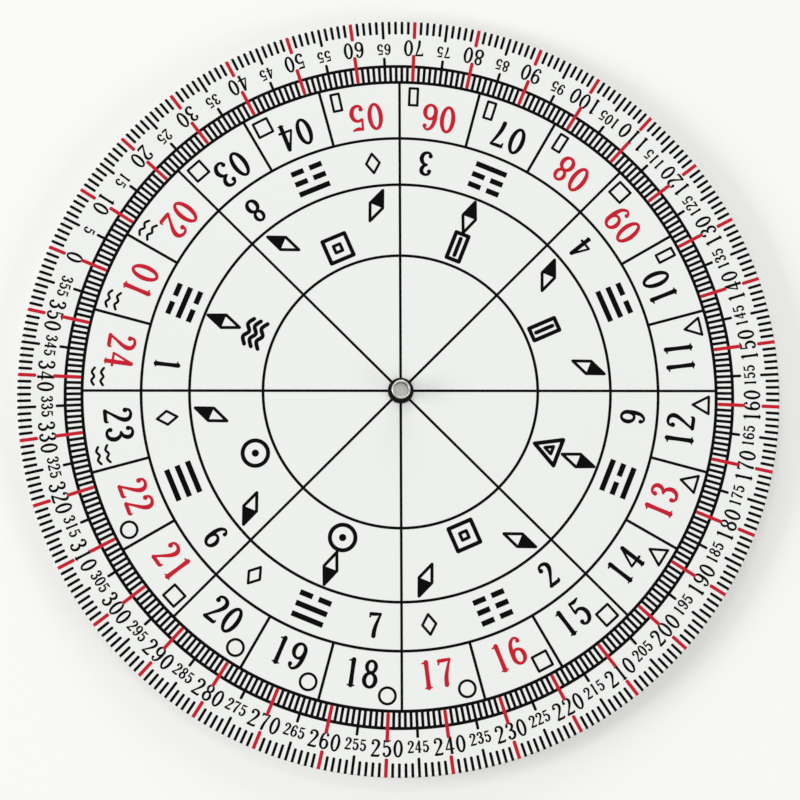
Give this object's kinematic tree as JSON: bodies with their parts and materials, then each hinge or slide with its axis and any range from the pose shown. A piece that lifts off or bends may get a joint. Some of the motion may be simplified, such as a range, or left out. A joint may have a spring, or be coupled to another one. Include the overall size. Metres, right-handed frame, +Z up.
{
  "type": "round compass ruler",
  "caption": "Flat round direction-finding ruler: a printed 360-degree dial turns on a rivet over a plain base disc.",
  "frame": {"origin": "middle of the base disc's underside, on the surface that the ruler lies on", "axes": "+Z up along the rivet, out of the printed face; +Y towards the top of the picture, with the dial's 67.5 degree mark at +Y"},
  "size_m": [0.15, 0.15, 0.005],
  "materials": {
    "dial_sheet": "white rigid sheet, silk matt, screen printed in black and red",
    "base_sheet": "white rigid sheet, silk matt, unprinted",
    "slip_film": "milky film, smooth",
    "rivet_aluminium": "bare aluminium, tumbled, with fine handling marks",
    "black_nylon": "black nylon, satin",
    "black_ink": "black screen-printing ink, satin",
    "red_ink": "red screen-printing ink, satin"
  },
  "bodies": {
    "base": {"base_disc": "base_sheet", "slip_washer": "slip_film", "pivot_rivet": "rivet_aluminium", "retaining_washer": "black_nylon"},
    "dial": {"front_dial": "dial_sheet"}
  },
  "joints": [
    {"name": "dial_turn", "type": "hinge", "parent": "base", "child": "dial", "pos_m": [0, 0, 0.002], "axis": [0, 0, 1], "continuous": true}
  ]
}
